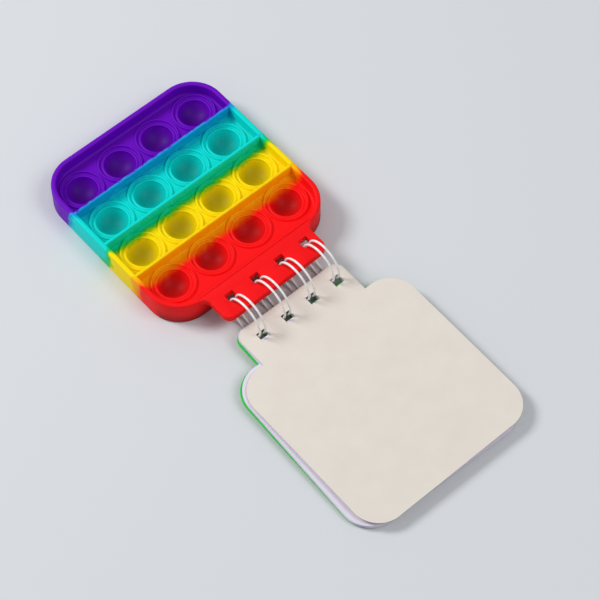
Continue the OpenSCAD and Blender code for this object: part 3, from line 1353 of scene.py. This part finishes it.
@dataclass
class Pad:
    """The sheets: a cream top sheet and sixteen white ones under it.

    Attributes:
        leaf: the top sheet's outline.
        under: the outline of the sheets under it, a little short at the neck.
        drop: how far below the loops' axis the top sheet lies.
        top_inset: how far outside the loops the top sheet's holes sit.
        pad_inset: the same for the sheets under it.
        thick: thickness of a sheet.
        air: air between two sheets.
        gap: clearance under the top sheet.
        skew: how far the lower sheets are turned out of line, in degrees.
        pad_slope: how far the pad leans towards the table, in degrees.
        top_slope: how far the top sheet leans, in degrees.
        count: number of lower sheets.
    """

    cream: bpy.types.Material
    white: bpy.types.Material
    axis: Vector
    leaf: Leaf = field(default_factory=Leaf)
    under: Leaf = field(default_factory=lambda: Leaf(margin=6.1))
    ring: float = 8.95
    drop: float = 2.75
    top_inset: float = 0.75
    pad_inset: float = 0.2
    thick: float = 0.09
    air: float = 0.015
    gap: float = 0.2
    skew: float = 1.8
    pad_slope: float = 2.267
    top_slope: float = 1.067
    count: int = 16

    def place(self, drop: float, inset: float, skew: float, slope: float) -> Matrix:
        """Gives where a leaf lies.

        Args:
            drop: how far below the loops' axis it is.
            inset: how far outside the loops its holes sit.
            skew: how far it is turned in its plane, in degrees.
            slope: how far it leans towards the table, in degrees.

        Returns:
            The matrix from the leaf's own frame to the object's, in metres.
        """
        crossing = math.sqrt(self.ring**2 - drop**2)
        shift = self.leaf.shift
        return (
            Matrix.Translation(self.axis)
            @ Matrix.Rotation(math.radians(slope), 4, "X")
            @ Matrix.Translation(Vector((shift, -crossing - inset, -drop)) * MM)
            @ Matrix.Rotation(math.radians(-skew), 4, "Z")
            @ Matrix.Translation(Vector((-shift, 0, 0)) * MM)
        )

    def build_top(self) -> None:
        """Builds the cream top sheet, slightly sprung at its free end."""
        piece = self.leaf.face("top_sheet")
        end = self.leaf.reach + self.leaf.length
        for vert in piece.data.vertices:
            x, y = vert.co.x / MM, vert.co.y / MM
            away = max(0.0, -y - 12.0) / (end - 12.0)
            lift = 0.35 * math.sin(math.pi * away) + 0.25 * away**3 * (x / 40.0)
            neck = max(0.0, 1.0 - abs(y - 3.0) / 7.0)
            ripple = math.cos(2 * math.pi * (x - self.leaf.shift) / self.leaf.pitch)
            vert.co.z = (lift - 0.09 * neck * (1 + ripple)) * MM
        thicken(piece, self.thick)
        spot = self.place(self.drop, self.top_inset, 0.0, self.top_slope)
        piece.data.transform(spot)
        wear(piece, self.cream)
        settle(piece, "top_sheet", ["sheet_01"])

    def stack_tree(self) -> bpy.types.NodeTree:
        """Builds the tree that stacks one sheet downwards with a slight fan."""
        tree, given = new_tree(
            "Stack of sheets",
            [
                ("Sheets", "NodeSocketInt", 16),
                ("Step", "NodeSocketFloat", 0.0001),
                ("Pivot", "NodeSocketVector", (0.0, 0.0, 0.0)),
                ("Fan", "NodeSocketFloat", 0.001),
                ("Finish", "NodeSocketMaterial", None),
            ],
        )
        down = maths(tree, "MULTIPLY", given.outputs["Step"], -1.0)
        offset = add_node(tree, "ShaderNodeCombineXYZ", {}, {"Z": down})
        run = {
            "Count": given.outputs["Sheets"],
            "Start Location": given.outputs["Pivot"],
            "Offset": offset.outputs[0],
        }
        line = add_node(tree, "GeometryNodeMeshLine", {"mode": "OFFSET"}, run)
        least = maths(tree, "MULTIPLY", given.outputs["Fan"], -1.0)
        limits = {2: least, 3: given.outputs["Fan"], "Seed": 11}
        kind = {"data_type": "FLOAT"}
        chance = add_node(tree, "FunctionNodeRandomValue", kind, limits)
        turn = add_node(tree, "ShaderNodeCombineXYZ", {}, {"Z": chance.outputs[1]})
        what = {
            "Points": line.outputs[0],
            "Instance": given.outputs["Geometry"],
            "Rotation": turn.outputs[0],
        }
        copies = add_node(tree, "GeometryNodeInstanceOnPoints", {}, what)
        close_tree(tree, copies.outputs[0], given.outputs["Finish"])
        return tree

    def build_stack(self) -> None:
        """Builds the sixteen lower sheets as one stack."""
        piece = self.under.face("pad_sheets")
        thicken(piece, self.thick)
        shift = self.under.shift
        piece.data.transform(Matrix.Translation(Vector((-shift, 0, 0)) * MM))
        sizes = {
            "Sheets": self.count,
            "Step": (self.thick + self.air) * MM,
            "Pivot": (shift * MM, 0.0, 0.0),
            "Fan": math.radians(0.12),
            "Finish": self.white,
        }
        grow(piece, self.stack_tree(), sizes)
        drop = self.drop + self.thick + self.gap
        spot = self.place(drop, self.pad_inset, self.skew, self.pad_slope)
        piece.data.transform(spot)
        names = [f"sheet_{k:02d}" for k in range(2, 2 + self.count)]
        settle(piece, "pad", names)

    def build(self) -> None:
        """Builds all the sheets."""
        self.build_top()
        self.build_stack()


def thicken(piece: bpy.types.Object, thick: float) -> None:
    """Gives a one-sided face a thickness below it.

    Args:
        piece: the mesh object.
        thick: the thickness, in millimetres.
    """
    shell = piece.modifiers.new("thickness", "SOLIDIFY")
    shell.thickness, shell.offset = thick * MM, -1.0
    bake_modifiers(piece)
    sharpen(piece, 40)


@dataclass
class BackCover:
    """The thin green back cover; its CAD node is right and only gets its finish."""

    finish: bpy.types.Material

    def build(self) -> None:
        """Dresses the CAD node."""
        wear(frame_nodes()["back_cover"], self.finish)
        LOG.info("back_cover dressed")


_FRAME: dict[str, Any] = {}


def frame_nodes() -> dict[str, bpy.types.Object]:
    """The CAD nodes by name."""
    return _FRAME["nodes"]


@dataclass
class Studio:
    """Floor, lights and camera.

    Attributes:
        azimuth: the camera's bearing, where 0 looks along +Y, in degrees.
        elevation: its height above the horizon, in degrees.
        distance: its distance from what it looks at, in millimetres.
        roll: its lean, in degrees.
        lens: focal length for a sensor 36 mm wide.
        aim: the point on the table that it looks at.
        light_away: distance of the lights from the origin, in metres.
    """

    azimuth: float = -40.59
    elevation: float = 59.07
    distance: float = 909.9
    roll: float = -0.3
    lens: float = 137.7
    aim: Point3 = (5.97, -4.89, 0.0)
    light_away: float = 1.6

    def build_camera(self) -> None:
        """Places the camera."""
        az, el, roll = (
            math.radians(v) for v in (self.azimuth, self.elevation, self.roll)
        )
        ahead = Vector(
            (-math.sin(az) * math.cos(el), math.cos(az) * math.cos(el), -math.sin(el))
        )
        right = Vector((math.cos(az), math.sin(az), 0.0))
        up = right.cross(ahead)
        right, up = (
            right * math.cos(roll) + up * math.sin(roll),
            up * math.cos(roll) - right * math.sin(roll),
        )
        data = bpy.data.cameras.new("camera")
        data.lens, data.sensor_width = self.lens, 36.0
        data.clip_end = 20.0
        camera = linked("camera", data)
        spot = Vector(self.aim) * MM - ahead * self.distance * MM
        turn = Matrix((right, up, -ahead)).transposed().to_4x4()
        camera.matrix_world = Matrix.Translation(spot) @ turn
        bpy.context.scene.camera = camera

    def build_floor(self) -> None:
        """Makes the plain pale floor, faintly glossy as coated board is."""
        material, tree, _ = new_material("Coated white board")
        board = {"Base Color": linear("dadcdf"), "Roughness": 0.16, "IOR": 1.45}
        end_material(tree, board)
        half = 2500.0
        corners = [(-half, -half, 0.0), (half, -half, 0.0)]
        corners += [(half, half, 0.0), (-half, half, 0.0)]
        floor = mesh_piece("floor", corners, [(0, 1, 2, 3)], smooth=False)
        wear(floor, material)

    def add_light(
        self, name: str, bearing: float, height: float, size: float, power: float
    ) -> None:
        """Adds a square soft box that looks at the middle of the object.

        Args:
            name: the light's name.
            bearing: degrees round from +X.
            height: degrees above the table.
            size: side of the soft box, in metres.
            power: its power, in watts.
        """
        data = bpy.data.lights.new(name, "AREA")
        data.size, data.energy = size, power
        light = linked(name, data)
        b, h = math.radians(bearing), math.radians(height)
        flat = math.cos(h)
        away = Vector((math.cos(b) * flat, math.sin(b) * flat, math.sin(h)))
        light.location = away * self.light_away
        light.rotation_euler = away.to_track_quat("Z", "Y").to_euler()

    def build(self) -> None:
        """Sets the floor, the lights, the surroundings and the camera."""
        self.build_floor()
        self.add_light("key_softbox", 122.0, 42.0, 0.5, 16.0)
        self.add_light("fill_softbox", -60.0, 54.0, 0.7, 7.0)
        world = bpy.data.worlds.new("studio")
        world.use_nodes = True
        tree = world.node_tree
        tree.nodes.clear()
        light = {"Color": linear("eef1f6"), "Strength": 0.42}
        sky = add_node(tree, "ShaderNodeBackground", {}, light)
        add_node(tree, "ShaderNodeOutputWorld", {}, {"Surface": sky.outputs[0]})
        scene = bpy.context.scene
        scene.world = world
        scene.view_settings.view_transform = "Standard"
        self.build_camera()


# -------------------------------------------------------------------- main


def main() -> None:
    """Builds the notebook in order."""
    logging.basicConfig(level=logging.INFO, format="%(name)s: %(message)s")
    _FRAME.update(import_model())
    joint = next(j for j in _FRAME["joints"] if j["name"] == "pad_turn")
    axis = Vector(joint["pos_m"])

    silicone = RainbowSilicone().build()
    BubbleTray(silicone).build()
    for row in Row:
        for column in range(1, 5):
            Bubble(silicone, row, column).build()
    TwinLoopWire(NylonCoatedWire().build(), axis).build()
    cream = Paper("Cream uncoated paper", "e9e1d6", "e0d6ca").build()
    white = Paper("White uncoated paper", "ece6f2", "dcd4e6").build()
    Pad(cream, white, axis).build()
    BackCover(PolypropyleneSheet().build()).build()
    Studio().build()


if __name__ == "__main__":
    main()
